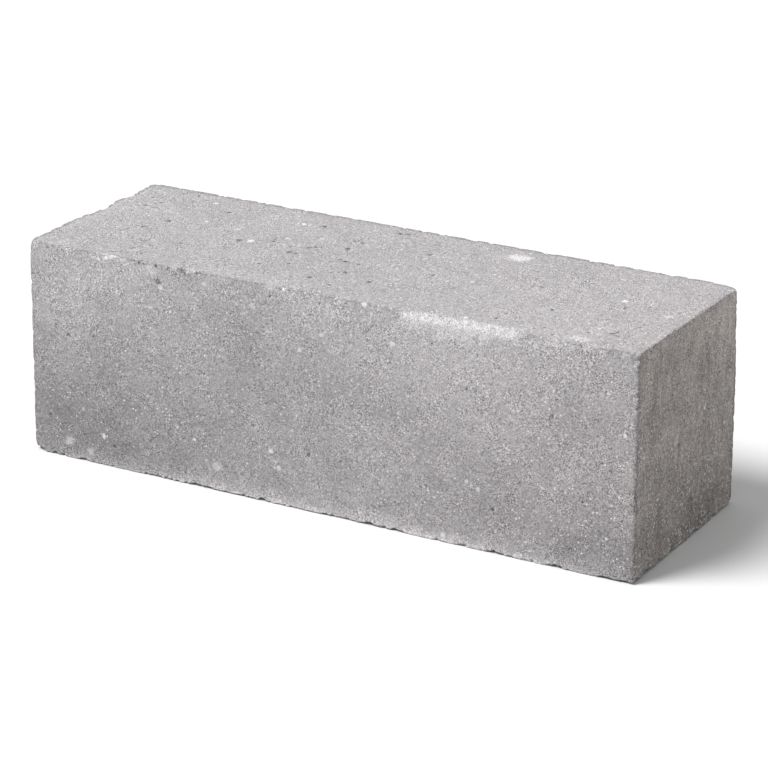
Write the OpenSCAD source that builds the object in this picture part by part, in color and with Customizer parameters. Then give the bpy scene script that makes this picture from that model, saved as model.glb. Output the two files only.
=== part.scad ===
// Concrete stacking block: one solid cast piece, laid dry on its flat base.
// Origin at the centre of the base, +X along the length, +Z up, in millimetres.

/* [Block] */
// Length of the block
block_length = 600; // [200:5:1200]
// Width of the block
block_width = 200; // [100:5:400]
// Height of the block
block_height = 200; // [100:5:400]

/* [Edges] */
// Radius of the two upright corners at the worn end (-X)
worn_corner_r = 5.5; // [2:0.5:45]
// Radius of the two upright corners at the crisp end (+X)
crisp_corner_r = 2.5; // [2:0.5:45]
// Radius of the edge around the top face
top_edge_r = 1.5; // [0.5:0.1:2]
// Radius of the edge around the base
base_edge_r = 1; // [0.5:0.1:2]

/* [Hidden] */
$fn = 64;

concrete_grey = [0.66, 0.66, 0.65];
half_length = block_length / 2;
half_width = block_width / 2;

// Waste left when the corner of a square is rounded, with that corner at the origin
// and the square lying to the left of it and on the given side, above (1) or below (-1).
module rounding_waste(radius, side) {
    difference() {
        translate([-radius, side > 0 ? 0 : -radius])
            square(radius);
        translate([-radius, side * radius])
            circle(radius);
    }
}

// Upright profile from an inner line at x = 0 out to a face at x = reach,
// with the top and base edges of that face rounded.
module wall_profile(reach) {
    difference() {
        square([reach, block_height]);
        translate([reach, block_height])
            rounding_waste(top_edge_r, -1);
        translate([reach, 0])
            rounding_waste(base_edge_r, 1);
    }
}

// Straight stretch of the block behind a face at x = 0 that looks along +X.
// It runs from y = 0 towards -Y, as far as span.
module straight_wall(span) {
    translate([-half_width, 0, 0])
        rotate([90, 0, 0])
            linear_extrude(span)
                wall_profile(half_width);
}

// Quarter-round upright corner between the +X and +Y directions.
module corner_post(radius) {
    rotate_extrude(angle = 90)
        wall_profile(radius);
}

// The quarter of the block behind its +X +Y corner, with that corner at the origin:
// the rounded corner, and the two walls that run on from it past the block's middle.
module quarter(corner_r) {
    translate([-corner_r, -corner_r, 0])
        corner_post(corner_r);
    translate([0, -corner_r, 0])
        straight_wall(half_width);
    translate([-corner_r, 0, 0])
        mirror([1, -1, 0])
            straight_wall(half_length);
}

// One end of the block, facing +X.
module end_half(corner_r) {
    for (flip = [0, 1])
        mirror([0, flip, 0])
            translate([half_length, half_width, 0])
                quarter(corner_r);
}

module block() {
    color(concrete_grey)
        union() {
            end_half(crisp_corner_r);
            mirror([1, 0, 0])
                end_half(worn_corner_r);
        }
}

block();
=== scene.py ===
import math

import bpy
import numpy as np
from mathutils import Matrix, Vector
from mathutils.kdtree import KDTree


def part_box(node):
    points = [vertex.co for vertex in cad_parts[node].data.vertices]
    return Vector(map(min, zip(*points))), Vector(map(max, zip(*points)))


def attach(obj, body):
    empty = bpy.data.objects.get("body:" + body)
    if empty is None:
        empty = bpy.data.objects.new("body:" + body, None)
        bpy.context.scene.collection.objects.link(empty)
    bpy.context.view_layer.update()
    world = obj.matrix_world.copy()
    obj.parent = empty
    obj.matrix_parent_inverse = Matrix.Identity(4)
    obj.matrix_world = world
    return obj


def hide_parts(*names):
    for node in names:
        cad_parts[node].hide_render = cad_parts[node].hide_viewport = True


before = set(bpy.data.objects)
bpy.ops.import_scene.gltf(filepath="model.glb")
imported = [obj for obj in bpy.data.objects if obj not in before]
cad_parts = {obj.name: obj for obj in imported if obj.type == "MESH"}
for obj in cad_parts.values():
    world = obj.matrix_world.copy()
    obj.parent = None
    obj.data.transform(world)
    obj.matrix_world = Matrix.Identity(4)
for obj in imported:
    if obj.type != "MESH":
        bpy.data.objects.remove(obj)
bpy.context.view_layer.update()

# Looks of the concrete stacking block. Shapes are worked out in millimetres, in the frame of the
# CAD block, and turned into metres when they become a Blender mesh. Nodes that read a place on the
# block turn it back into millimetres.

MM = 0.001
LOW, HIGH = (np.array(corner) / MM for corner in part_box("block"))
CENTRE = (LOW + HIGH) / 2
X, Y, Z = 0, 1, 2
# The axis that each face looks along, and the way it looks.
FACES = {
    "left": (X, -1), "right": (X, 1), "front": (Y, -1), "back": (Y, 1), "base": (Z, -1), "top": (Z, 1),
}

# ---------------------------------------------------------------- wear and marks, each at its place

# The marks of the front, top and right faces follow a real block. They were picked by eye, and most
# of the places of its pits and flecks are what a separate script worked out for them, through the
# solved camera. Its outline was measured for the notches, and its brightness for the clouds. How
# large and strong each mark is, and all marks of the other faces, were chosen.

# Radii of the four upright corners, seen from above. Between the corners, the radius that limits the
# edges of the top and base grows to SIDE_R over CORNER_REACH.
CORNER_R = {"left_front": 5, "left_back": 6, "right_front": 1.6, "right_back": 2.5}
SIDE_R = 24
CORNER_REACH = 70
# How much shorter the top is than the base at each end, and how far the top dips at its back
# right corner.
LEFT_LEAN = 3.5
RIGHT_LEAN = 1.0
TOP_DIP = 2.2
# Mean radius of the worn edges round the top and round the base, where nothing else rounds them.
TOP_EDGE_R = 0.6
BASE_EDGE_R = 0.35

# Knocked-off corners: which corner of the box, as -1 or 1 along X, Y and Z, how deep the knock goes
# along the corner's diagonal, and how softly it blends into the faces.
KNOCKED_CORNERS = [
    ((-1, -1, 1), 5.0, 2.2),
    ((-1, -1, -1), 3.0, 2.5),
    ((-1, 1, 1), 2.2, 1.5),
    ((-1, 1, -1), 3.5, 2.5),
    ((1, 1, 1), 4.0, 2.5),
    ((1, 1, -1), 1.5, 1.5),
    ((1, -1, 1), 1.0, 1.0),
]

# Bites out of the edges: place, reach along X, Y and Z, and depth.
BITES = [
    ((-300, 10, 200), (14, 28, 14), 1.9),
    ((-300, 60, 200), (14, 20, 14), 1.5),
    ((300, 100, 172), (12, 12, 34), 1.3),
    ((-1, -100, 200), (3, 4, 3), 2.0),
    ((-150, -100, 200), (14, 3, 3), 1.0),
    ((-128, -100, 200), (8, 3, 3), 1.0),
    ((-224, -100, 199), (12, 5, 6), 1.1),
    ((-48, -100, 200), (10, 4, 4), 0.9),
    ((232, -100, 200), (34, 10, 8), 1.0),
    ((262, -100, 200), (12, 5, 5), 1.2),
    ((297, -100, 196), (4, 4, 9), 1.2),
]

# Notches in the foot of the sides: place, reach along the edge, and height.
NOTCHES = [
    ((-294, -100, 0), 10, 2.2),
    ((-276, -100, 0), 4, 2.8),
    ((-246, -100, 0), 5, 1.6),
    ((-126, -100, 0), 12, 0.9),
    ((-90, -100, 0), 50, 0.8),
    ((-56, -100, 0), 4, 2.4),
    ((-4, -100, 0), 24, 0.6),
    ((52, -100, 0), 5, 2.0),
    ((60, -100, 0), 24, 0.9),
    ((76, -100, 0), 4, 1.6),
    ((172, -100, 0), 9, 1.9),
    ((229, -100, 0), 7, 2.2),
    ((300, -70, 0), 52, 2.3),
    ((300, -2, 0), 8, 1.2),
    ((300, 22, 0), 12, 1.9),
    ((300, 82, 0), 24, 1.6),
]

# Pits: place and radius.
PITS = [
    ((-70, 7, 200), 2.0), ((-66, 10, 200), 1.8), ((-61, 12, 200), 1.7), ((-79, -14, 200), 2.6),
    ((-71, -14, 200), 2.2), ((-39, 20, 200), 2.6), ((-44, 42, 200), 2.0), ((-35, 41, 200), 2.2),
    ((-29, -9, 200), 2.0), ((-23, -12, 200), 2.4), ((-9, -13, 200), 1.8), ((-7, -37, 200), 2.8),
    ((-27, -64, 200), 2.6), ((-2, -73, 200), 1.8), ((23, -50, 200), 2.2), ((-84, -55, 200), 1.8),
    ((-62, -41, 200), 1.6), ((-20, 82, 200), 3.0), ((-13, 84, 200), 2.0), ((22, -4, 200), 2.2),
    ((31, 43, 200), 2.8), ((61, -7, 200), 2.0), ((92, 32, 200), 1.7), ((148, 10, 200), 2.2),
    ((156, 13, 200), 2.4), ((182, 45, 200), 2.6), ((150, 37, 200), 1.7), ((190, -36, 200), 2.2),
    ((258, -64, 200), 3.2), ((240, -2, 200), 2.4), ((-134, -7, 200), 2.8), ((-172, 23, 200), 1.8),
    ((-186, 58, 200), 2.6), ((-90, 66, 200), 2.6), ((-230, -17, 200), 2.4), ((-238, -30, 200), 2.0),
    ((-219, 9, 200), 2.4), ((-264, 38, 200), 2.0), ((-106, 6, 200), 1.8),
    ((-158, -100, 183), 2.4), ((-256, -100, 118), 1.8), ((144, -100, 142), 1.3), ((4, -100, 192), 1.2),
    ((-45, -100, 190), 1.3), ((-178, -100, 198), 1.3), ((-173, -100, 198), 1.0),
    ((-160, -100, 198), 1.5), ((-149, -100, 197), 1.8), ((-144, -100, 199), 1.3),
    ((-134, -100, 198), 1.6), ((-131, -100, 197), 1.2), ((-118, -100, 198), 1.1),
    ((300, -18, 94), 2.2), ((170, -100, 40), 1.4), ((-210, -100, 20), 1.8),
]

# Pale flecks of lime and light stones: place, radius and strength.
FLECKS = [
    ((-109, 62, 200), 3.2, 1.0), ((-124, -4, 200), 4.2, 0.9), ((-211, 75, 200), 3.2, 0.7),
    ((-152, 20, 200), 3.0, 0.5), ((-73, 33, 200), 3.4, 0.5), ((-100, 19, 200), 3.0, 0.6),
    ((232, 15, 200), 3.6, 0.9), ((34, 30, 200), 3.4, 0.5), ((-262, 42, 200), 3.0, 0.4),
    ((190, 22, 200), 2.0, 0.5), ((137, -90, 200), 2.4, 1.0), ((99, -6, 200), 2.6, 0.4),
    ((-189, 24, 200), 3.0, 0.4), ((92, 14, 200), 2.6, 0.4), ((-30, 70, 200), 2.6, 0.3),
    ((-208, -100, 198.5), 2.4, 1.0), ((-204, -100, 199.5), 2.2, 1.0), ((-213, -100, 197), 1.8, 0.9),
    ((-156, -100, 179), 2.4, 1.0), ((-16, -100, 147), 2.8, 0.8),
    ((-243, -100, 50), 2.6, 0.5), ((-236, -100, 10), 4.6, 0.5), ((-222, -100, 28), 2.8, 1.0),
    ((-259, -100, 17), 6.0, 0.6), ((74, -100, 169), 2.6, 1.0), ((34, -100, 170), 1.8, 0.9),
    ((-102, -100, 23), 5.5, 0.5), ((-46, -100, 49), 2.6, 1.0), ((-38, -100, 34), 3.4, 0.7),
    ((288, -100, 129), 2.4, 1.0), ((272, -100, 162), 1.8, 0.7),
    ((97, 72, 200), 3.4, 1.0), ((102, 76, 200), 3.4, 0.9),
    ((109, 77, 200), 3.6, 0.9), ((106, 67, 200), 3.0, 0.8), ((145, -100, 60), 2.2, 0.7),
    ((156, -100, 55), 2.4, 0.7), ((-111, -100, 190), 3.0, 0.6), ((47, -100, 199), 3.2, 0.8),
    ((-63, -100, 178), 3.0, 0.5), ((-243, -100, 172), 1.6, 0.8), ((-254, -100, 170), 1.4, 0.8),
    ((-125, -100, 44), 1.8, 0.9), ((300, 33, 110), 2.4, 1.0),
    ((300, -12, 110), 2.6, 0.4), ((300, -14, 85), 1.5, 0.7), ((300, 16, 50), 1.5, 0.8),
    ((300, 41, 98), 1.3, 0.6), ((300, 52, 124), 1.3, 0.6), ((300, -60, 106), 1.4, 0.4),
    ((300, -30, 6), 2.0, 0.9), ((300, -39, 5), 1.7, 0.8), ((300, -47, 4), 1.9, 0.9),
    ((300, -10, 3), 2.0, 1.0), ((300, 9, 3), 1.5, 0.8), ((300, 17, 6), 1.6, 0.7),
    ((300, 36, 20), 1.7, 0.7),
    ((300, 42, 12), 1.6, 0.7), ((300, 65, 15), 1.5, 0.6), ((300, 82, 4), 1.8, 0.9),
    ((-276, -100, 166), 1.5, 0.8), ((-267, -100, 169), 1.4, 0.8), ((-203, -100, 167), 1.4, 0.6),
    ((-172, -100, 159), 1.3, 0.7), ((-166, -100, 159), 1.3, 0.7), ((240, -100, 95), 1.8, 0.7),
    ((278, -100, 66), 1.4, 0.7), ((174, -100, 86), 1.4, 0.6), ((97, -100, 29), 1.6, 0.7),
    ((123, -100, 6), 2.6, 0.9), ((141, -100, 4), 1.6, 0.8), ((161, -100, 3), 1.6, 0.8),
    ((191, -100, 3), 1.8, 0.9), ((197, -100, 4), 1.8, 0.9), ((222, -100, 4), 1.6, 0.8),
    ((228, -100, 4), 1.5, 0.8), ((290, -100, 3), 1.6, 0.8),
]

# Soft light and dark areas of each face: place, reach and change of brightness. Some are painted
# shade: the small dark one under the top edge of the front, and the dark ones low on the right end.
CLOUDS = {
    "front": [
        ((-262, -100, 190), (115, 60, 105), 0.19),
        ((-180, -100, 195), (60, 60, 60), 0.15),
        ((130, -100, 190), (170, 60, 120), 0.16),
        ((-255, -100, 30), (185, 60, 110), -0.25),
        ((-216, -100, 22), (40, 60, 36), -0.08),
        ((-272, -100, 52), (40, 60, 40), -0.06),
        ((295, -100, 15), (110, 60, 95), -0.26),
        ((180, -100, 30), (110, 60, 85), -0.10),
        ((-86, -100, 148), (34, 60, 34), -0.10),
        ((-120, -100, 70), (60, 60, 70), -0.06),
        ((-180, -100, 188), (46, 60, 40), 0.06),
        ((-60, -100, 190), (50, 60, 40), 0.06),
        ((0, -100, 200), (700, 60, 125), 0.10),
        ((120, -100, 185), (90, 60, 60), 0.04),
        ((-262, -100, 130), (40, 60, 50), 0.05),
        ((0, -100, 0), (700, 60, 50), -0.05),
        ((2, -100, 190), (46, 60, 34), 0.15),
        # Painted shade under the bitten top edge.
        ((-140, -100, 198), (34, 6, 7), -0.16),
        ((117, -100, 53), (15, 60, 14), -0.14),
        ((245, -100, 140), (40, 60, 40), -0.06),
    ],
    "top": [
        ((-300, 0, 200), (120, 150, 60), 0.05),
        ((60, 0, 200), (220, 120, 60), -0.02),
        ((235, 70, 200), (50, 40, 60), -0.04),
        ((-60, 40, 200), (60, 50, 60), 0.04),
    ],
    "right": [
        ((300, 80, 195), (60, 70, 110), 0.24),
        ((300, 0, 200), (60, 150, 100), 0.05),
        # The dark clouds low on this end are painted shade near the floor.
        ((300, 30, -10), (60, 100, 90), -0.30),
        ((300, 66, 150), (60, 34, 60), 0.06),
        ((300, 70, 12), (60, 30, 24), 0.12),
        ((300, 20, 14), (60, 26, 20), -0.10),
        ((300, -80, 25), (60, 80, 110), -0.20),
        ((300, 10, 50), (60, 130, 80), -0.06),
        ((300, -18, 94), (10, 8, 12), -0.10),
        ((300, -20, 105), (60, 70, 60), -0.04),
    ],
    "left": [
        ((-300, -40, 200), (60, 120, 90), 0.10),
        ((-300, 60, 0), (60, 110, 100), -0.18),
    ],
    "back": [
        ((180, 100, 195), (150, 60, 90), 0.12),
        ((-120, 100, 190), (120, 60, 80), 0.08),
        ((-250, 100, 20), (140, 60, 90), -0.18),
        ((240, 100, 10), (120, 60, 80), -0.14),
        ((20, 100, 90), (60, 60, 50), -0.07),
    ],
    "base": [
        ((-150, 0, 0), (160, 120, 60), -0.08),
        ((200, 20, 0), (140, 120, 60), 0.06),
    ],
}

# Lime patches on flat faces: face, place, reach and strength.
LIME_PATCHES = [
    ("top", (103, 74, 200), (17, 14, 10), 1.2),
    ("top", (280, -3, 200), (12, 9, 10), 0.6),
    ("top", (285, 14, 200), (14, 10, 10), 0.35),
    ("top", (240, -88, 200), (22, 12, 10), 0.5),
    ("top", (-47, -85, 200), (12, 10, 10), 0.25),
    ("front", (-168, -100, 193), (14, 10, 9), 0.6),
    ("front", (-196, -100, 196), (14, 10, 8), 0.5),
    ("front", (204, -100, 191), (12, 10, 12), 0.5),
    ("front", (10, -100, 188), (14, 10, 13), 0.45),
    ("back", (150, 100, 60), (20, 10, 18), 0.35),
    ("back", (-165, 100, 184), (32, 10, 9), 0.9),
    ("back", (-136, 100, 178), (20, 10, 12), 0.7),
]

# The lime run over the top edge of the front: from and to along X, how far it reaches down the front
# and in over the top, and how much rounder the edge is worn there.
RUN_FROM = 80
RUN_TO = 196
RUN_DOWN = 17
RUN_OVER = 7
RUN_ROUNDER = 7

# Painted shade along some edges: the two faces that meet there, how wide the shade is, and its
# strength.
SHADED_EDGES = [
    (("top", "back"), 8.0, 0.24),
    (("top", "left"), 7.0, 0.24),
    (("top", "right"), 3.0, 0.12),
    (("top", "front"), 2.8, 0.22),
    (("front", "left"), 6.0, 0.22),
    (("back", "left"), 6.0, 0.20),
    (("back", "right"), 7.0, 0.38),
    (("front", "right"), 4.0, 0.16),
]

# Marks scattered at random besides the placed ones: face, number of pits and number of flecks.
SCATTERED = [
    ("top", 90, 50),
    ("front", 10, 30),
    ("right", 6, 10),
    ("left", 8, 10),
    ("back", 22, 45),
    ("base", 40, 30),
]
# They keep this far from the edges of the box, and are picked from this many times as many places.
SCATTER_MARGIN = 6
SCATTER_CHOICE = 8


# ---------------------------------------------------------------- noise and other helpers

def smooth(low, high, value):
    """0 below low, 1 above high, and a soft rise between."""
    t = np.clip((value - low) / (high - low), 0, 1)
    return t * t * (3 - 2 * t)


# The noise is made of this many random numbers along each axis, and then repeats.
NOISE_TABLE = 64


def lattice_noise(places, wavelength, seed):
    """Smooth noise from -1 to 1 at each place; wavelength is one number or one for each axis."""
    table = np.random.default_rng(seed).uniform(-1, 1, (NOISE_TABLE,) * 3).astype(np.float32)
    scaled = places / wavelength
    cell = np.floor(scaled).astype(int)
    t = scaled - cell
    t = t * t * t * (t * (6 * t - 15) + 10)
    total = 0
    for corner in np.ndindex(2, 2, 2):
        weight = np.prod(np.where(corner, t, 1 - t), axis=1)
        i, j, k = ((cell + corner) % NOISE_TABLE).T
        total = total + weight * table[i, j, k]
    return total


def layered_noise(places, wavelength, seed, layers=3):
    """Noise with finer and weaker layers added, kept near -1 to 1."""
    total, weight = 0, 0
    for layer in range(layers):
        strength = 0.5 ** layer
        finer = np.asarray(wavelength) / 2 ** layer
        total = total + strength * lattice_noise(places, finer, seed + layer)
        weight += strength
    return total / weight


def near(points, place, reach, core=0.0):
    """1 at a place and over that part of the reach, falling softly to 0 at the reach."""
    away = np.linalg.norm((points - np.array(place)) / reach, axis=1)
    return 1 - smooth(core, 1, away)


def facing(normals, face):
    """1 where the surface looks the way that face does, and 0 where it has turned away."""
    axis, side = FACES[face]
    return smooth(0.55, 0.9, normals[:, axis] * side)


def facing_ends(normals):
    return facing(normals, "left") + facing(normals, "right")


def facing_sides(normals):
    return facing(normals, "front") + facing(normals, "back")


def gap_to(points, face):
    """How far inside the plane of that face of the box each point lies."""
    axis, side = FACES[face]
    gap = (HIGH[axis] - points[:, axis]) if side > 0 else (points[:, axis] - LOW[axis])
    return np.maximum(gap, 0)


def nearest_mark(points, marks):
    """For each point, the number of the mark nearest to it."""
    tree = KDTree(len(marks))
    for number, mark in enumerate(marks):
        tree.insert(mark[0], number)
    tree.balance()
    return np.array([tree.find(point)[1] for point in points.tolist()])


def scattered(face, count, seed, crowding=1.5):
    """Random places on one face, crowded into some parts of it and kept off its edges, and the random
    generator, for what is drawn next."""
    chance = np.random.default_rng(seed)
    axis, side = FACES[face]
    room = HIGH - LOW - 2 * SCATTER_MARGIN
    places = LOW + SCATTER_MARGIN + chance.uniform(0, 1, (count * SCATTER_CHOICE, 3)) * room
    places[:, axis] = HIGH[axis] if side > 0 else LOW[axis]
    liking = np.exp(2 * crowding * layered_noise(places, 70, seed + 5))
    order = np.argsort(chance.uniform(0, 1, len(places)) / liking)
    return places[order[:count]], chance


def scattered_pits(face, count, seed):
    """Pits as place and radius; most are small."""
    places, chance = scattered(face, count, seed)
    return [(tuple(place), 0.9 + 1.1 * chance.uniform() ** 2) for place in places]


def scattered_flecks(face, count, seed):
    """Flecks as place, radius and strength; most are small."""
    places, chance = scattered(face, count, seed, 0.8)
    return [(tuple(place), 0.9 + 1.4 * chance.uniform() ** 3, chance.uniform(0.3, 0.9))
            for place in places]


for number, (face, pits, flecks) in enumerate(SCATTERED):
    PITS += scattered_pits(face, pits, seed=100 + 20 * number)
    FLECKS += scattered_flecks(face, flecks, seed=110 + 20 * number)


# ---------------------------------------------------------------- the block's plain worn shape

# Spacing of the grid close to the edges of the box and away from them, and how wide the close band is.
FINE_STEP = 0.8
COARSE_STEP = 1.1
FINE_BAND = 12


def stations(low, high):
    """Grid lines along one axis, closer together near both ends."""
    edge = np.arange(0, FINE_BAND, FINE_STEP)
    inner_count = int((high - low - 2 * FINE_BAND) / COARSE_STEP) + 1
    inner = np.linspace(low + FINE_BAND, high - FINE_BAND, inner_count)
    return np.concatenate([low + edge, inner, high - edge[::-1]])


def box_grid():
    """Points and outward quads of a closed box, on a grid that the six faces share at their edges."""
    lines = [stations(LOW[axis], HIGH[axis]) for axis in (X, Y, Z)]
    counts = [len(line) for line in lines]
    quads = []
    for axis in (X, Y, Z):
        one, other = (axis + 1) % 3, (axis + 2) % 3
        a, b = np.meshgrid(np.arange(counts[one] - 1), np.arange(counts[other] - 1), indexing="ij")
        a, b = a.ravel(), b.ravel()
        for side, turn in ((0, -1), (counts[axis] - 1, 1)):
            corners = np.zeros((len(a), 4, 3), int)
            corners[:, :, axis] = side
            for n, (da, db) in enumerate([(0, 0), (1, 0), (1, 1), (0, 1)][::turn]):
                corners[:, n, one] = a + da
                corners[:, n, other] = b + db
            quads.append(corners)
    quads = np.concatenate(quads)
    keys = np.ravel_multi_index(quads.reshape(-1, 3).T, counts)
    used, faces = np.unique(keys, return_inverse=True)
    at = np.unravel_index(used, counts)
    points = np.column_stack([lines[axis][at[axis]] for axis in (X, Y, Z)])
    return points, faces.reshape(-1, 4)


def corner_radii(points):
    """The upright corner's radius at the left end and at the right end, and the radius here."""
    front = points[:, Y] < CENTRE[Y]
    left = np.where(front, CORNER_R["left_front"], CORNER_R["left_back"])
    right = np.where(front, CORNER_R["right_front"], CORNER_R["right_back"])
    here = SIDE_R + (left - SIDE_R) * (1 - smooth(left, CORNER_REACH, points[:, X] - LOW[X]))
    here = here + (right - SIDE_R) * (1 - smooth(right, CORNER_REACH, HIGH[X] - points[:, X]))
    return left, right, here


def along_run(points):
    """1 along the lime run, falling softly to 0 past its ends."""
    x = points[:, X]
    return smooth(RUN_FROM - 6, RUN_FROM + 6, x) * smooth(RUN_TO + 8, RUN_TO - 16, x)


def top_edge_radius(points):
    """Radius of the worn edge round the top face, place by place."""
    radius = TOP_EDGE_R + 0.5 * layered_noise(points, 26, seed=11)
    radius += RUN_ROUNDER * along_run(points) * (points[:, Y] < CENTRE[Y])
    return np.clip(radius, 0.4, 9)


def base_edge_radius(points):
    """Radius of the worn edge round the base, place by place."""
    radius = BASE_EDGE_R + 0.3 * layered_noise(points, 18, seed=21)
    return np.clip(radius, 0.2, 0.8)


def lean_and_dip(points):
    """How far each point of an upright block moves because the ends lean and the top dips."""
    along, across, height = ((points - LOW) / (HIGH - LOW)).T
    lean = height * (LEFT_LEAN * (1 - along) - RIGHT_LEAN * along)
    dip = TOP_DIP * height * along * across
    return np.column_stack([lean, np.zeros(len(points)), -dip])


def rounded_edge(depth, up, edge_radius, corner_radius, level, way):
    """Moves points onto the round edge between the sides and the top, or the base. Takes and gives how
    deep inside the sides each point lies, and its height."""
    limit = np.minimum(edge_radius, 0.9 * corner_radius)
    inside = limit - depth
    towards = way * (up - level) + limit
    edge = (inside > 0) & (towards > 0)
    size = np.maximum(np.hypot(inside, towards), 1e-9)
    scale = np.where(edge, np.maximum(inside, towards) / size, 1)
    depth = np.where(edge, limit - inside * scale, depth)
    up = np.where(edge, level + way * (towards * scale - limit), up)
    return depth, up


def worn_shape(points):
    """Box points moved onto the block with its rounded corners and edges and its leaning ends."""
    left, right, here = corner_radii(points)
    x = points[:, X]
    core = np.column_stack([
        np.clip(x, LOW[X] + left, HIGH[X] - right),
        np.clip(points[:, Y], LOW[Y] + here, HIGH[Y] - here),
    ])
    out = points[:, :2] - core
    reach = np.abs(out).max(axis=1)
    length = np.maximum(np.linalg.norm(out, axis=1), 1e-9)
    direction = out / length[:, None]
    radius = np.where(x > HIGH[X] - right, right, here)
    radius = np.where(x < LOW[X] + left, left, radius)
    depth = radius - reach
    up = points[:, Z]
    depth, up = rounded_edge(depth, up, top_edge_radius(points), radius, HIGH[Z], 1)
    depth, up = rounded_edge(depth, up, base_edge_radius(points), radius, LOW[Z], -1)
    reach = radius - depth
    upright = np.column_stack([core + direction * reach[:, None], up])
    return upright + lean_and_dip(upright)


def knock_corners(points):
    """Wears each listed corner back along its diagonal."""
    for side, depth, softness in KNOCKED_CORNERS:
        side = np.array(side)
        corner = np.where(side > 0, HIGH, LOW)
        direction = side / np.sqrt(3)
        beyond = (points - corner) @ direction + depth
        worn = softness * np.logaddexp(0, beyond / softness)
        near_enough = beyond > -8 * softness
        points = points - np.where(near_enough, worn, 0)[:, None] * direction
    return points


# ---------------------------------------------------------------- relief

# How far from the edges their wear reaches.
EDGE_BAND = 16
# Mean depth of the broad waves and of the fine unevenness of the faces.
WAVE_DEPTH = 0.1
UNEVEN_DEPTH = 0.04
# Nicks and chips of the edges, and the roughness of the left end's corners: depth, and how quickly
# each fades away from the edge.
NICK_DEPTH = 1.9
NICK_FADE = 2.2
CHIP_DEPTH = 1.2
CHIP_FADE = 3
CORNER_DEPTH = 1.6
CORNER_FADE = 7
# Wear of the foot of the sides: height, how quickly it fades in under the block and up the sides, and
# how high the notches reach.
FOOT_HEIGHT = 1.3
FOOT_FADE_IN = 5
FOOT_FADE_UP = 4
NOTCH_REACH_UP = 9
# Depth of a pit as a share of its radius.
PIT_DEPTH = 0.3


def edge_distance(points):
    """Distance from a point of the box to the nearest of its twelve edges."""
    gaps = np.column_stack([points - LOW, HIGH - points])
    return np.sort(gaps, axis=1)[:, 1]


def edge_wear(points, edge):
    """Depth of the ragged wear along the edges."""
    nicks = 0.7 * layered_noise(points, 7, seed=51) + 1.1 * lattice_noise(points, 3.0, seed=57)
    depth = np.exp(-edge / NICK_FADE) * (0.1 + NICK_DEPTH * np.maximum(nicks, 0))
    chips = smooth(0.35, 0.8, layered_noise(points, 20, seed=71, layers=2))
    depth += CHIP_DEPTH * np.exp(-edge / CHIP_FADE) * chips
    # The round upright corners of the left end are rough right round.
    across = np.minimum(gap_to(points, "front"), gap_to(points, "back"))
    corner = np.exp(-np.hypot(gap_to(points, "left"), across) / CORNER_FADE)
    return depth + CORNER_DEPTH * corner * np.maximum(lattice_noise(points, 3.0, seed=59), 0)


def foot_wear(points):
    """How far the foot of the sides is broken away upwards, which leaves the sides flat."""
    inside = np.minimum.reduce([gap_to(points, face) for face in ("left", "right", "front", "back")])
    above = points[:, Z] - LOW[Z]
    near_foot = np.exp(-inside / FOOT_FADE_IN) * np.exp(-above / FOOT_FADE_UP)
    flat = points * (1, 1, 0)
    crumbled = 0.5 * layered_noise(flat, 8, seed=61) + 1.2 * lattice_noise(flat, 2.8, seed=67)
    height = near_foot * FOOT_HEIGHT * np.maximum(crumbled - 0.15, 0)
    for place, reach, notch in NOTCHES:
        height += notch * near(points, place, (reach, reach, NOTCH_REACH_UP), 0.3)
    return height


def pit_depth(points):
    """How deep the pits are at each point, with ragged outlines."""
    number = nearest_mark(points, PITS)
    places = np.array([place for place, radius in PITS])
    radii = np.array([radius for place, radius in PITS])[number]
    away = np.linalg.norm(points - places[number], axis=1) / radii
    close = away < 1.6
    depth = np.zeros(len(points))
    ragged = away[close] + 0.35 * lattice_noise(points[close], 2.2, seed=81)
    depth[close] = PIT_DEPTH * radii[close] * (1 - smooth(0.3, 1.1, ragged))
    return depth


def relief(points):
    """How far each point of the box grid lies below the plain worn shape."""
    depth = WAVE_DEPTH + WAVE_DEPTH * layered_noise(points, 90, seed=31, layers=2)
    depth += UNEVEN_DEPTH + UNEVEN_DEPTH * layered_noise(points, 9, seed=41, layers=2)
    edge = edge_distance(points)
    band = edge < EDGE_BAND
    depth[band] += edge_wear(points[band], edge[band])
    ragged = 1 + 0.5 * layered_noise(points, 6, seed=91, layers=2)
    for place, reach, bite in BITES:
        depth += bite * near(points, place, reach, 0.4) * ragged
    depth += pit_depth(points)
    return np.maximum(depth, 0)


def inward(points):
    """Direction into the block at each point of the box grid, turning gradually past the edges."""
    way = np.clip(points, LOW + EDGE_BAND, HIGH - EDGE_BAND) - points
    return way / np.linalg.norm(way, axis=1)[:, None]


def mesh_from(points, faces):
    """A Blender mesh in metres from points in millimetres and four-cornered faces."""
    mesh = bpy.data.meshes.new("block_surface")
    mesh.vertices.add(len(points))
    mesh.vertices.foreach_set("co", (points * MM).ravel())
    mesh.loops.add(faces.size)
    mesh.loops.foreach_set("vertex_index", faces.ravel())
    mesh.polygons.add(len(faces))
    mesh.polygons.foreach_set("loop_start", np.arange(0, faces.size, 4))
    mesh.update(calc_edges=True)
    mesh.validate()
    return mesh


def block_mesh():
    """The worn block on its full grid, inside the CAD box."""
    box_points, faces = box_grid()
    plain = knock_corners(worn_shape(box_points))
    points = plain + inward(box_points) * relief(box_points)[:, None]
    points[:, Z] += foot_wear(box_points)
    return mesh_from(np.clip(points, LOW, HIGH), faces)


# How many triangles are left of the full grid.
TRIANGLES = 190_000


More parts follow.
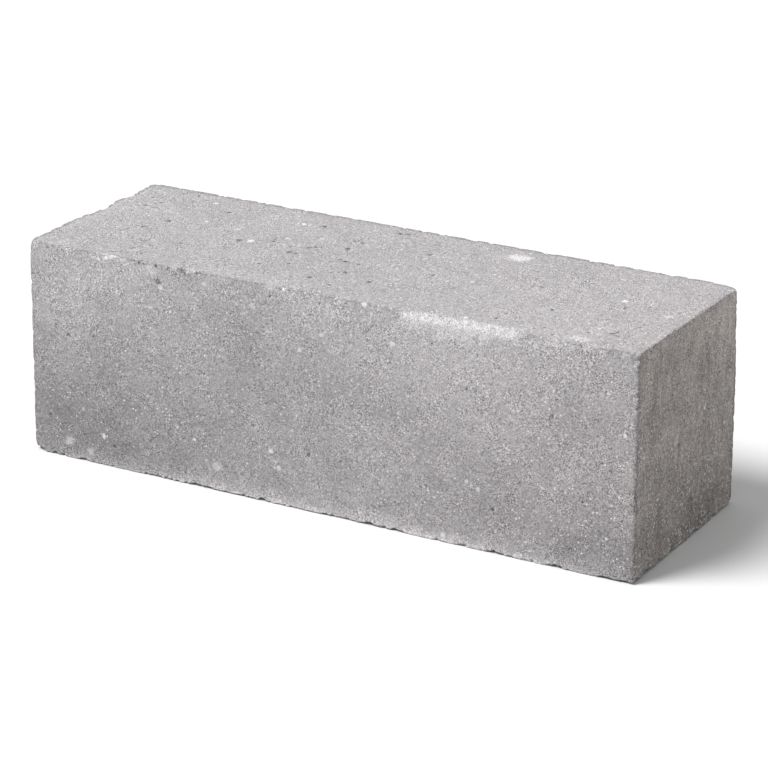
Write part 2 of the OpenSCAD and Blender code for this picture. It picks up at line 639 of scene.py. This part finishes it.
def simplified(mesh):
    """A new object with the mesh, its flat stretches thinned out until it has TRIANGLES triangles."""
    made = bpy.data.objects.new("block_surface", mesh)
    bpy.context.collection.objects.link(made)
    triangles = sum(len(p.vertices) - 2 for p in mesh.polygons)
    thin = made.modifiers.new("thin", "DECIMATE")
    thin.ratio = TRIANGLES / triangles
    thin.use_collapse_triangulate = True
    depsgraph = bpy.context.evaluated_depsgraph_get()
    result = bpy.data.meshes.new_from_object(made.evaluated_get(depsgraph))
    made.modifiers.clear()
    made.data = result
    result.name = "block_surface"
    bpy.data.meshes.remove(mesh)
    return made


# ---------------------------------------------------------------- what the material reads

def attribute(mesh, name, values):
    """Gives each point of the mesh a number or a vector, by that name."""
    kind = "FLOAT" if values.ndim == 1 else "FLOAT_VECTOR"
    field = "value" if values.ndim == 1 else "vector"
    mesh.attributes.new(name, kind, "POINT").data.foreach_set(field, values.astype(np.float32).ravel())


def tone(points, normals):
    """Soft light and dark areas, as a factor on the brightness: random ones, which show less on the
    top, the ends, which are a little darker, and the placed clouds."""
    top = facing(normals, "top")
    total = 1 - 0.04 * facing_ends(normals)
    total += (0.08 - 0.03 * top) * layered_noise(points, 60, seed=201, layers=2)
    total += (0.12 - 0.06 * top) * layered_noise(points, 22, seed=211, layers=2)
    for face, clouds in CLOUDS.items():
        weight = facing(normals, face)
        for place, reach, change in clouds:
            total += weight * change * near(points, place, reach)
    return total


def lime_run(points, normals):
    """The lime that ran over the top edge of the front, from 0 to 1, thinner where it looks up."""
    along = points * (1, 0, 0)
    wander = layered_noise(along, 26, seed=221)
    drips = 0.6 * np.maximum(lattice_noise(along, 4, seed=231), 0)
    down = gap_to(points, "top") / (RUN_DOWN * (0.9 + 0.5 * wander + drips))
    widening = smooth(RUN_FROM - 5, RUN_FROM + 45, points[:, X])
    over_reach = RUN_OVER * (1 - 0.5 * wander) * widening + 0.5
    over = np.maximum(gap_to(points, "front") - 2, 0) / over_reach
    run = along_run(points) * np.clip(0.9 - 0.9 * np.maximum(down, over) ** 2.2, 0, 1)
    upward = smooth(0.05, 0.7, normals[:, Z])
    return run * (1 - 0.5 * upward)


def lime(points, normals):
    """How much lime has bloomed, from 0 for none to 1 or more for a full cover, before the fine breaks
    that the material adds."""
    total = np.zeros(len(points))
    for face, place, reach, strength in LIME_PATCHES:
        total = np.maximum(total, strength * facing(normals, face) * near(points, place, reach))
    return np.maximum(total, lime_run(points, normals))


def foot(points, normals):
    """Pale band along the foot, partly pale crumbs and partly painted bounce light from the floor,
    strongest in the middle of the long sides, weak on the ends.
    """
    middle = 0.5 + 0.5 * near(points, (20, 0, 0), (300, 400, 400))
    share = facing_sides(normals) * middle + 0.3 * facing_ends(normals)
    return share * np.exp(-(points[:, Z] - LOW[Z]) / 5)


def warmth(points, normals):
    """0 for neutral grey, 1 for the warm grey of the ends, which stops short of the front edges."""
    return facing_ends(normals) * smooth(0.5, 5, gap_to(points, "front"))


def painted_edge_shade(points):
    """How much painted shade lies along the edges, from 0 to 1."""
    total = np.zeros(len(points))
    for (one, other), width, strength in SHADED_EDGES:
        away = np.hypot(gap_to(points, one), gap_to(points, other))
        total = np.maximum(total, strength * smooth(width, 0.4 * width, away))
    return total


def to_marks(points, marks):
    """Vector from the nearest mark in units of its radius, its distance in millimetres, and its
    number in the list."""
    number = nearest_mark(points, marks)
    places = np.array([mark[0] for mark in marks])[number]
    radii = np.array([mark[1] for mark in marks])[number]
    away = points - places
    return away / radii[:, None], np.linalg.norm(away, axis=1), number


def vectors(items, field):
    """That vector of each vertex or polygon, as an array with one row each."""
    values = np.empty(len(items) * 3, np.float32)
    items.foreach_get(field, values)
    return values.reshape(-1, 3)


def add_attributes(mesh):
    """Gives the mesh everything that the material reads by name."""
    points = vectors(mesh.vertices, "co").astype(float) / MM
    normals = np.array([normal.vector for normal in mesh.vertex_normals])
    upright = points - lean_and_dip(points)
    attribute(mesh, "tone", tone(points, normals))
    attribute(mesh, "lime", lime(upright, normals))
    attribute(mesh, "foot", foot(points, normals))
    attribute(mesh, "warmth", warmth(points, normals))
    attribute(mesh, "ends", facing_ends(normals))
    attribute(mesh, "sky", facing(normals, "top"))
    attribute(mesh, "edge_shade", painted_edge_shade(upright))
    offset, gap, _ = to_marks(points, PITS)
    attribute(mesh, "pit_offset", offset)
    attribute(mesh, "pit_gap", gap)
    offset, gap, number = to_marks(points, FLECKS)
    attribute(mesh, "fleck_offset", offset)
    attribute(mesh, "fleck_gap", gap)
    attribute(mesh, "fleck_strength", np.array([mark[2] for mark in FLECKS])[number])


# ---------------------------------------------------------------- unwrapped faces

# Where each face lies on a square sheet of 800 mm: its lower left corner there, and the axes that
# run right and up. Each face is drawn in by the gap on every side.
SHEET = 800
SHEET_GAP = 1.5
LAYOUT = {
    "front": (0, 0, X, Z), "back": (0, 200, X, Z), "top": (0, 400, X, Y), "base": (0, 600, X, Y),
    "left": (600, 0, Y, Z), "right": (600, 200, Y, Z),
}
# A polygon that lies further in than this from a face of the box does not belong to that face.
FACE_DEPTH = 9


def face_of_each_polygon(mesh):
    """For each polygon, the number of the face in LAYOUT that it belongs to."""
    centres = vectors(mesh.polygons, "center") / MM
    normals = vectors(mesh.polygons, "normal")
    scores = []
    for face in LAYOUT:
        axis, side = FACES[face]
        too_deep = gap_to(centres, face) > FACE_DEPTH
        scores.append(normals[:, axis] * side - 10 * too_deep)
    return np.argmax(scores, axis=0)


def unwrap(mesh):
    """Lays the six faces flat beside each other on one sheet. The mesh has only triangles."""
    face_of_loop = np.repeat(face_of_each_polygon(mesh), 3)
    corner = np.empty(len(mesh.loops), int)
    mesh.loops.foreach_get("vertex_index", corner)
    places = (vectors(mesh.vertices, "co") / MM)[corner]
    uv = np.zeros((len(corner), 2))
    for number, (right, up, across, along) in enumerate(LAYOUT.values()):
        these = face_of_loop == number
        for column, (start, axis) in enumerate(((right, across), (up, along))):
            size = HIGH[axis] - LOW[axis]
            shrink = (size - 2 * SHEET_GAP) / size
            uv[these, column] = start + SHEET_GAP + (places[these, axis] - LOW[axis]) * shrink
    mesh.uv_layers.new(name="OFBake").data.foreach_set("uv", (uv / SHEET).ravel())


block = simplified(block_mesh())
block.data.shade_smooth()
add_attributes(block.data)
unwrap(block.data)

# ---------------------------------------------------------------- material

# Brightness of plain cement, the most that any of it may reach, and its tints: at the left end of the
# long sides, at their right end, and on the two ends.
CEMENT_GREY = 0.381
BRIGHTEST_CEMENT = 0.85
TINT_LEFT = (1.030, 1.0, 1.005, 1)
TINT_RIGHT = (1.048, 1.0, 1.015, 1)
TINT_ENDS = (1.085, 1.0, 0.950, 1)

# Colours of the light grains, of the placed flecks, of the painted highlights beside pits and of the
# crumbs along the foot, and of the darker and the lighter specks of lime.
LIGHT_GRAIN = (0.82, 0.80, 0.80, 1)
FLECK = (0.78, 0.77, 0.77, 1)
CRUMB_AND_HIGHLIGHT = (0.80, 0.79, 0.79, 1)
LIME_DULL = (0.42, 0.41, 0.41, 1)
LIME_WHITE = (0.85, 0.84, 0.84, 1)

# Sizes in millimetres: fine grain, sand grains, mottling, areas of rougher and calmer grain, the cells
# that may hold a light grain, areas of clear and faint light grains, voids, and the cells that may hold
# a crumb at the foot.
FINE_SIZE = 0.7
SAND_SIZE = 0.5
MOTTLE_SIZE = 5
ROUGH_AREA_SIZE = 16
LIGHT_GRAIN_CELL = 3.2
FAINT_AREA_SIZE = 24
VOID_SIZE = 2.2
FOOT_CRUMB_CELL = 5

# How strongly the brightness follows the fine grain, the sand and the mottling, how much less the
# mottling shows on the top, and how strongly it follows the streaks of the ends.
FINE_STRENGTH = 0.7
SAND_STRENGTH = 1.5
MOTTLE_STRENGTH = 0.60
MOTTLE_LESS_ON_TOP = 0.13
STREAK_STRENGTH = 0.75
# The grain is this strong in its calmest and in its roughest areas.
CALMEST = 0.63
ROUGHEST = 1.28

# How much lighter the foot of the sides is, partly pale crumbs and partly painted bounce light from
# the floor, how much darker a void and a pit are than the cement round them, as painted shade in the
# hollows, and how far a void and a pit lie below the cement in the bump, in millimetres.
FOOT_PALE_AND_BOUNCE = 1.45
VOID_PAINTED_SHADE = 0.45
PIT_PAINTED_SHADE = 0.6
VOID_BUMP = 0.5
PIT_BUMP = 0.8

# How much larger the light grains are on the ends, how many times larger the largest are than the
# rest, and how strong they are where they are faintest.
LARGER_ON_ENDS = 0.50
LARGER_GRAIN = 1.35
FAINTEST = 0.35

# Where the painted highlight beside a pit lies from the pit's middle, in radii of the pit.
PIT_HIGHLIGHT_PLACE = (1.5, -0.4, 0)

# How fully the painted highlights beside pits, the flecks, the crumbs at the foot and the lime hide
# the cement.
PIT_HIGHLIGHT_COVER = 0.55
FLECK_COVER = 0.95
FOOT_CRUMB_COVER = 0.85
LIME_COVER = 0.94


class Shader:
    """Adds nodes to one node tree; a value is a number, a vector, a colour or another node's output."""

    def __init__(self, tree):
        self.tree = tree

    def feed(self, socket, value):
        """Links an output to the socket, or sets the socket to a plain value."""
        if isinstance(value, bpy.types.NodeSocket):
            self.tree.links.new(value, socket)
        else:
            socket.default_value = value

    def math(self, operation, *values):
        made = self.tree.nodes.new("ShaderNodeMath")
        made.operation = operation
        for socket, value in zip(made.inputs, values):
            self.feed(socket, value)
        return made.outputs[0]

    def times(self, one, other):
        return self.math("MULTIPLY", one, other)

    def times_plus(self, value, factor, added):
        """value x factor + added."""
        return self.math("MULTIPLY_ADD", value, factor, added)

    def vector(self, operation, *values):
        made = self.tree.nodes.new("ShaderNodeVectorMath")
        made.operation = operation
        for socket, value in zip(made.inputs, values):
            self.feed(socket, value)
        return made.outputs["Value" if operation == "LENGTH" else "Vector"]

    def ramp(self, value, low, high, start=0.0, end=1.0):
        """Goes softly from start at low to end at high."""
        made = self.tree.nodes.new("ShaderNodeMapRange")
        made.interpolation_type = "SMOOTHSTEP"
        amounts = {"Value": value, "From Min": low, "From Max": high, "To Min": start, "To Max": end}
        for name, amount in amounts.items():
            self.feed(made.inputs[name], amount)
        return made.outputs["Result"]

    def attribute(self, name, output="Fac"):
        """What add_attributes gave the mesh by that name."""
        made = self.tree.nodes.new("ShaderNodeAttribute")
        made.attribute_name = name
        return made.outputs[output]

    def noise(self, place, wavelength, detail=2.0, roughness=0.5):
        """Noise from 0 to 1 round 0.5; place is in millimetres."""
        made = self.tree.nodes.new("ShaderNodeTexNoise")
        self.feed(made.inputs["Vector"], place)
        made.inputs["Scale"].default_value = 1 / wavelength
        made.inputs["Detail"].default_value = detail
        made.inputs["Roughness"].default_value = roughness
        return made.outputs["Factor"] if "Factor" in made.outputs else made.outputs["Fac"]

    def noise_round_zero(self, place, wavelength, detail, roughness, strength):
        """Noise round 0, as far as half of the strength either way."""
        noise = self.noise(place, wavelength, detail, roughness)
        return self.times(self.math("SUBTRACT", noise, 0.5), strength)

    def grains(self, place, size):
        """Cells of that size: the distance from each one's middle, in cells, and two random numbers."""
        made = self.tree.nodes.new("ShaderNodeTexVoronoi")
        self.feed(made.inputs["Vector"], place)
        made.inputs["Scale"].default_value = 1 / size
        split = self.tree.nodes.new("ShaderNodeSeparateColor")
        self.tree.links.new(made.outputs["Color"], split.inputs[0])
        return made.outputs["Distance"], split.outputs[0], split.outputs[1]

    def mix(self, factor, one, other, blend="MIX"):
        """Colour between one and the other. Sockets 6, 7 and 2 of the node are its colour ones."""
        made = self.tree.nodes.new("ShaderNodeMix")
        made.data_type = "RGBA"
        made.blend_type = blend
        self.feed(made.inputs[0], factor)
        self.feed(made.inputs[6], one)
        self.feed(made.inputs[7], other)
        return made.outputs[2]

    def round_one(self, noise, strength):
        """A factor round 1 from a number that lies round 0.5."""
        return self.times_plus(noise, strength, 1 - strength / 2)


def plain_cement(s, place, fine, sand_tone, mottle, ends):
    """Grey of the cement as a factor: its grain, sand and mottling, and the streaks on the ends."""
    rough = s.ramp(s.noise(place, ROUGH_AREA_SIZE, 2.0), 0.3, 0.7, CALMEST, ROUGHEST)
    rough = s.times(rough, s.times_plus(ends, 0.25, 1.0))
    grain = s.times(s.round_one(fine, FINE_STRENGTH), s.round_one(sand_tone, SAND_STRENGTH))
    grain = s.times_plus(s.math("SUBTRACT", grain, 1.0), rough, 1.0)
    grey = s.times(s.attribute("tone"), grain)
    mottled = s.times_plus(s.attribute("sky"), -MOTTLE_LESS_ON_TOP, MOTTLE_STRENGTH)
    grey = s.times(grey, s.times_plus(s.math("SUBTRACT", mottle, 0.5), mottled, 1.0))
    # Streaks and blotches that the mould left on the ends as the block was drawn out of it.
    streaks = s.noise(s.vector("MULTIPLY", place, (1, 1, 0.15)), 3, 2.0)
    blotches = s.noise(s.vector("MULTIPLY", place, (1, 1, 0.5)), 20, 3.0)
    drawn = s.math("SUBTRACT", s.math("ADD", streaks, blotches), 1.0)
    return s.times(grey, s.times_plus(drawn, s.times(ends, STREAK_STRENGTH), 1.0))


def light_grains(s, place, fine, ends):
    """Small light grains, larger on the ends, and fainter in some areas."""
    gap, strength, pick = s.grains(place, LIGHT_GRAIN_CELL)
    gap = s.math("DIVIDE", gap, s.times_plus(ends, LARGER_ON_ENDS, 1.0))
    # A few cells hold a larger grain, and the fine noise makes all outlines ragged.
    gap = s.math("DIVIDE", gap, s.ramp(pick, 0.88, 0.98, 1.0, LARGER_GRAIN))
    gap = s.math("ADD", gap, s.times(s.math("SUBTRACT", fine, 0.5), 0.3))
    grains = s.times(s.ramp(gap, 0.27, 0.20), s.ramp(strength, 0.45, 0.9))
    area = s.noise(place, FAINT_AREA_SIZE, 2.0)
    return s.times(grains, s.ramp(area, 0.35, 0.65, FAINTEST, 1.0))


def voids(s, place):
    """Small voids all over, which the colour darkens as painted shade in them. The shift keeps them out
    of step with the other noises.
    """
    hollow = s.noise(s.vector("ADD", place, (31, 17, 5)), VOID_SIZE, 2.0, 0.6)
    return s.ramp(hollow, 0.36, 0.26)


def placed_flecks(s, place):
    """The placed flecks, with ragged outlines."""
    away = s.vector("LENGTH", s.attribute("fleck_offset", "Vector"))
    away = s.math("ADD", away, s.noise_round_zero(place, 3.5, 3.0, 0.7, 2.2))
    fleck = s.times(s.ramp(away, 1.0, 0.5), s.ramp(s.attribute("fleck_gap"), 9, 7))
    return s.times(fleck, s.attribute("fleck_strength"))


def placed_pits(s, ragged):
    """The placed pits and the painted highlight beside each, where the wall that faces the key light
    would catch it, with ragged outlines.
    """
    offset = s.attribute("pit_offset", "Vector")
    close = s.ramp(s.attribute("pit_gap"), 7, 5)
    pit_away = s.math("ADD", s.vector("LENGTH", offset), ragged)
    highlight_offset = s.vector("SUBTRACT", offset, PIT_HIGHLIGHT_PLACE)
    highlight_away = s.math("ADD", s.vector("LENGTH", highlight_offset), ragged)
    pit = s.times(s.ramp(pit_away, 1.05, 0.2), close)
    pit_highlight = s.times(s.ramp(highlight_away, 0.9, 0.3), close)
    return pit, pit_highlight


def lime_cover(s, place, fine):
    """How much lime hides the cement: all of it where there is much, and specks where it fades out."""
    amount = s.attribute("lime")
    breaks = s.math("ADD", s.times(s.noise(place, 5, 3.0, 0.7), 1.5), s.times(fine, 1.3))
    cover = s.ramp(s.math("ADD", amount, s.math("SUBTRACT", breaks, 1.4)), 0.1, 0.8)
    return s.times(cover, s.ramp(amount, 0.0, 0.2))


def lime_colour(s, fine, sand_tone):
    """Colour of the lime, lighter and darker with the grain under it."""
    speckle = s.times(s.round_one(fine, 0.7), s.round_one(sand_tone, 0.9))
    return s.mix(s.ramp(speckle, 0.6, 1.28), LIME_DULL, LIME_WHITE)


def foot_crumbs(s, place, ragged, foot_pale_and_bounce):
    """Pale crumbs in the pale band along the foot."""
    gap, strength, _ = s.grains(s.vector("ADD", place, (3, 0, 2)), FOOT_CRUMB_CELL)
    gap = s.math("ADD", gap, s.times(ragged, 0.15))
    crumbs = s.times(s.ramp(gap, 0.36, 0.22), s.ramp(strength, 0.35, 0.65))
    return s.times(crumbs, s.ramp(foot_pale_and_bounce, 0.15, 0.5))


def worn_cement(s, place, grey, foot_pale_and_bounce, void, pit):
    """The cement's grey with its pale foot, partly painted bounce light, its painted shade along the
    edges, and its voids and its pits, darkened as painted shade in the hollows.
    """
    # The pale foot is partly pale crumbs and partly painted bounce light from the floor.
    grey = s.times(grey, s.times_plus(foot_pale_and_bounce, FOOT_PALE_AND_BOUNCE, 1.0))
    # Painted shade along the edges, a little broken.
    edge_shade = s.times(s.attribute("edge_shade"), s.ramp(s.noise(place, 3, 2.0), 0.3, 0.6, 0.5, 1.3))
    grey = s.times(grey, s.math("SUBTRACT", 1.0, edge_shade))
    # The voids and the pits are darkened as painted shade in the hollows.
    grey = s.times(grey, s.times_plus(void, -VOID_PAINTED_SHADE, 1.0))
    grey = s.times(grey, s.times_plus(pit, -PIT_PAINTED_SHADE, 1.0))
    return s.math("MINIMUM", s.times(grey, CEMENT_GREY), BRIGHTEST_CEMENT)


def tinted(s, place, grey):
    """Cement colour of that grey: a warmer grey towards the right end, and warmer still on the ends."""
    neutral = s.tree.nodes.new("ShaderNodeCombineColor")
    for socket in neutral.inputs[:3]:
        s.feed(socket, grey)
    along = s.tree.nodes.new("ShaderNodeSeparateXYZ")
    s.feed(along.inputs[0], place)
    tint = s.mix(s.ramp(along.outputs["X"], LOW[X], HIGH[X]), TINT_LEFT, TINT_RIGHT)
    tint = s.mix(s.attribute("warmth"), tint, TINT_ENDS)
    return s.mix(1, neutral.outputs[0], tint, "MULTIPLY")


def add_bump(s, surface, fine, sand_gap, void, pit):
    """Bump from the fine grain and the sand, with voids and pits below it."""
    height = s.math("ADD", s.times(fine, 0.3), s.times(s.ramp(sand_gap, 0.6, 0.1), 0.15))
    height = s.math("SUBTRACT", height, s.times(void, VOID_BUMP))
    height = s.math("SUBTRACT", height, s.times(pit, PIT_BUMP))
    bump = s.tree.nodes.new("ShaderNodeBump")
    bump.inputs["Strength"].default_value = 1.0
    bump.inputs["Distance"].default_value = MM
    s.feed(bump.inputs["Height"], height)
    s.feed(surface.inputs["Normal"], bump.outputs["Normal"])


def cast_concrete():
    """The material of the block."""
    material = bpy.data.materials.new("cast_concrete")
    material.use_nodes = True
    s = Shader(material.node_tree)
    surface = s.tree.nodes["Principled BSDF"]
    where = s.tree.nodes.new("ShaderNodeTexCoord").outputs["Object"]
    place = s.vector("MULTIPLY", where, (1 / MM,) * 3)
    ends = s.attribute("ends")
    foot_pale_and_bounce = s.attribute("foot")
    fine = s.noise(place, FINE_SIZE, 1.0, 0.6)
    sand_gap, sand_tone, _ = s.grains(place, SAND_SIZE)
    mottle = s.noise(place, MOTTLE_SIZE, 3.0, 0.6)
    ragged = s.noise_round_zero(place, 1.8, 2.0, 0.8, 3.8)
    light_grain = light_grains(s, place, fine, ends)
    void = voids(s, place)
    pit, pit_highlight = placed_pits(s, ragged)

    grey = plain_cement(s, place, fine, sand_tone, mottle, ends)
    grey = worn_cement(s, place, grey, foot_pale_and_bounce, void, pit)
    colour = s.mix(light_grain, tinted(s, place, grey), LIGHT_GRAIN)
    # Painted highlight beside each pit, where the wall that faces the key light would catch it.
    colour = s.mix(s.times(pit_highlight, PIT_HIGHLIGHT_COVER), colour, CRUMB_AND_HIGHLIGHT)
    colour = s.mix(s.times(placed_flecks(s, place), FLECK_COVER), colour, FLECK)
    foot_crumb = foot_crumbs(s, place, ragged, foot_pale_and_bounce)
    colour = s.mix(s.times(foot_crumb, FOOT_CRUMB_COVER), colour, CRUMB_AND_HIGHLIGHT)
    covered = s.times(lime_cover(s, place, fine), LIME_COVER)
    colour = s.mix(covered, colour, lime_colour(s, fine, sand_tone))
    s.feed(surface.inputs["Base Color"], colour)

    # The mottling makes it duller here and there, and the light grains are smoother.
    roughness = s.math("SUBTRACT", s.times_plus(mottle, 0.16, 0.80), s.times(light_grain, 0.25))
    s.feed(surface.inputs["Roughness"], roughness)
    surface.inputs["Specular IOR Level"].default_value = 0.35
    add_bump(s, surface, fine, sand_gap, void, pit)
    return material


block.data.materials.clear()
block.data.materials.append(cast_concrete())

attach(block, "root")
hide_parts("block")

# ---------------------------------------------------------------- floor, light and camera

# Size of the floor in metres, and its colour as it is seen and as it lights the block.
FLOOR_SIZE = 30
FLOOR_SEEN = (0.75, 0.75, 0.75, 1)
FLOOR_BOUNCE = (0.45, 0.45, 0.45, 1)

# Strength of the light from all round, and the key light: the way to it, its strength, and how
# many degrees wide it looks, which softens its shadow.
WORLD_STRENGTH = 0.52
KEY_DIRECTION = (-0.30, -0.33, 0.69)
KEY_STRENGTH = 3.38
KEY_ANGLE = 25

# The camera: degrees round the block from straight in front and up from level, how far it stands
# from the point it aims at, that point in metres, and its lens and sensor in millimetres.
VIEW_AZIMUTH = 29.71
VIEW_ELEVATION = 20.69
CAMERA_DISTANCE = 2.573
AIM = Vector((0.0091, 0.0001, 0.0882))
LENS = 137.64
SENSOR_WIDTH = 36


def is_seen(shader):
    """1 for a ray from the camera, a reflection or a clear thing, and 0 for one that only lights."""
    path = shader.tree.nodes.new("ShaderNodeLightPath")
    glossy_or_clear = shader.math(
        "MAXIMUM", path.outputs["Is Glossy Ray"], path.outputs["Is Transmission Ray"])
    return shader.math("MAXIMUM", path.outputs["Is Camera Ray"], glossy_or_clear)


def pale_floor():
    bpy.ops.mesh.primitive_plane_add(size=FLOOR_SIZE, location=(0, 0, LOW[Z] * MM))
    floor = bpy.context.object
    floor.name = "floor"
    paint = bpy.data.materials.new("floor_paint")
    paint.use_nodes = True
    s = Shader(paint.node_tree)
    diffuse = s.tree.nodes["Principled BSDF"]
    diffuse.inputs["Roughness"].default_value = 1
    diffuse.inputs["Specular IOR Level"].default_value = 0
    s.feed(diffuse.inputs["Base Color"], s.mix(is_seen(s), FLOOR_BOUNCE, FLOOR_SEEN))
    floor.data.materials.append(paint)


def world_light():
    world = bpy.data.worlds.new("studio")
    bpy.context.scene.world = world
    world.use_nodes = True
    s = Shader(world.node_tree)
    background = s.tree.nodes["Background"]
    background.inputs["Color"].default_value = (1, 1, 1, 1)
    s.feed(background.inputs["Strength"], s.ramp(is_seen(s), 0.0, 1.0, WORLD_STRENGTH, 1.0))


def key_light():
    lamp = bpy.data.lights.new("key", "SUN")
    lamp.energy = KEY_STRENGTH
    lamp.angle = math.radians(KEY_ANGLE)
    key = bpy.data.objects.new("key", lamp)
    bpy.context.collection.objects.link(key)
    key.rotation_mode = "QUATERNION"
    key.rotation_quaternion = Vector(KEY_DIRECTION).to_track_quat("Z", "Y")


def camera():
    lens = bpy.data.cameras.new("camera")
    lens.sensor_width = SENSOR_WIDTH
    lens.lens = LENS
    eye = bpy.data.objects.new("camera", lens)
    bpy.context.collection.objects.link(eye)
    azimuth = math.radians(VIEW_AZIMUTH)
    elevation = math.radians(VIEW_ELEVATION)
    level = math.cos(elevation)
    back = Vector((math.sin(azimuth) * level, -math.cos(azimuth) * level, math.sin(elevation)))
    eye.location = AIM + back * CAMERA_DISTANCE
    eye.rotation_mode = "QUATERNION"
    eye.rotation_quaternion = (-back).to_track_quat("-Z", "Y")
    bpy.context.scene.camera = eye


pale_floor()
world_light()
key_light()
camera()
bpy.context.scene.view_settings.view_transform = "Standard"
